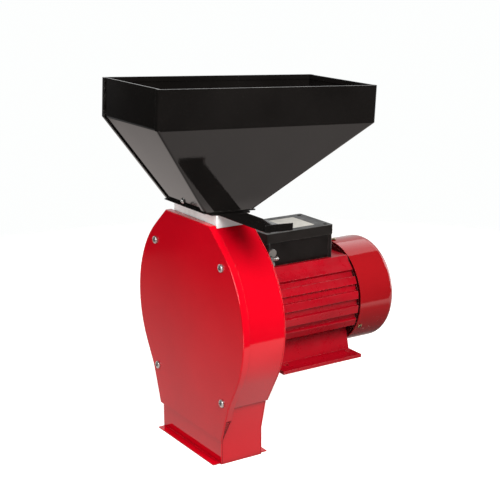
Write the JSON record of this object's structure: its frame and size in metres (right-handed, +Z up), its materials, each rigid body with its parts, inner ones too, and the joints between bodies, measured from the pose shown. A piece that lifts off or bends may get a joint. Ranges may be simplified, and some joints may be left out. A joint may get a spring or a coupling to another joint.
{
  "type": "hammer mill",
  "caption": "Electric hammer mill: tall feed hopper with a slide gate over a round grinding drum with swing hammers and an open chute below, driven by a foot-mounted motor.",
  "frame": {"origin": "underside of the motor's feet, in the middle of the four foot holes", "axes": "+Z up, +Y from the grinding drum to the motor's fan along the shaft, +X to the side the slide gate is pulled out to"},
  "size_m": [0.355, 0.4393, 0.5849],
  "materials": {
    "red_enamel": "gloss enamel",
    "fan_cover_red": "satin enamel",
    "black_enamel": "gloss enamel",
    "zinc_plate": "zinc plated",
    "bare_galvanised": "galvanised, matt",
    "machined_steel": "machined",
    "hardened_steel": "hardened, dull",
    "cast_aluminium": "cast",
    "electrical_steel": "laminated and varnished",
    "black_plastic": "moulded, matt",
    "felt": "pressed felt",
    "white_nylon": "moulded"
  },
  "bodies": {
    "housing": {"cable_gland": "black_plastic", "chute_front_panel": "red_enamel", "chute_side_left": "red_enamel", "chute_side_right": "red_enamel", "cover_bolt_1": "zinc_plate", "cover_bolt_2": "zinc_plate", "cover_bolt_3": "zinc_plate", "cover_bolt_4": "zinc_plate", "drum_back_plate": "red_enamel", "drum_band_left": "red_enamel", "drum_band_right": "red_enamel", "fan_cover": "fan_cover_red", "fan_cover_screw_1": "zinc_plate", "fan_cover_screw_2": "zinc_plate", "fan_cover_screw_3": "zinc_plate", "front_bearing": "machined_steel", "front_cover": "red_enamel", "front_end_shield": "cast_aluminium", "gate_guide": "black_enamel", "hopper_base": "black_enamel", "hopper_panel_front": "black_enamel", "hopper_panel_left": "black_enamel", "hopper_panel_rear": "black_enamel", "hopper_panel_right": "black_enamel", "hopper_screw_front": "zinc_plate", "hopper_screw_rear": "zinc_plate", "inlet_neck": "bare_galvanised", "lid_screw_1": "zinc_plate", "lid_screw_2": "zinc_plate", "lid_screw_3": "zinc_plate", "lid_screw_4": "zinc_plate", "motor_frame": "red_enamel", "rear_bearing": "machined_steel", "rear_end_shield": "cast_aluminium", "run_capacitor": "white_nylon", "shaft_seal": "felt", "sieve": "machined_steel", "terminal_block": "black_plastic", "terminal_box": "black_plastic", "terminal_box_lid": "black_plastic", "threaded_boss_1": "machined_steel", "threaded_boss_2": "machined_steel", "wing_nut_1": "zinc_plate", "wing_nut_2": "zinc_plate", "wound_stator": "electrical_steel"},
    "gate": {"slide_gate": "black_enamel"},
    "rotor": {"motor_shaft": "machined_steel", "rotor_core": "electrical_steel", "cooling_fan": "white_nylon", "rotor_hub": "machined_steel", "front_disc": "machined_steel", "rotor_bolt": "zinc_plate", "hammer_pin_1": "machined_steel", "hammer_pin_2": "machined_steel", "hammer_pin_3": "machined_steel", "hammer_pin_4": "machined_steel"},
    "swing_hammer_1": {"hammer_1": "hardened_steel"},
    "swing_hammer_2": {"hammer_2": "hardened_steel"},
    "swing_hammer_3": {"hammer_3": "hardened_steel"},
    "swing_hammer_4": {"hammer_4": "hardened_steel"}
  },
  "joints": [
    {"name": "gate_slide", "type": "slide", "parent": "housing", "child": "gate", "axis": [1, 0, 0], "range_m": [0, 0.1]},
    {"name": "rotor_spin", "type": "hinge", "parent": "housing", "child": "rotor", "pos_m": [0, -0.16, 0.09], "axis": [0, 1, 0], "continuous": true},
    {"name": "hammer_swing_1", "type": "hinge", "parent": "rotor", "child": "swing_hammer_1", "pos_m": [0.058, -0.1695, 0.09], "axis": [0, 1, 0], "range_deg": [-120, 120]},
    {"name": "hammer_swing_2", "type": "hinge", "parent": "rotor", "child": "swing_hammer_2", "pos_m": [0, -0.1522, 0.148], "axis": [0, 1, 0], "range_deg": [-120, 120]},
    {"name": "hammer_swing_3", "type": "hinge", "parent": "rotor", "child": "swing_hammer_3", "pos_m": [-0.058, -0.1695, 0.09], "axis": [0, 1, 0], "range_deg": [-120, 120]},
    {"name": "hammer_swing_4", "type": "hinge", "parent": "rotor", "child": "swing_hammer_4", "pos_m": [0, -0.1522, 0.032], "axis": [0, 1, 0], "range_deg": [-120, 120]}
  ]
}
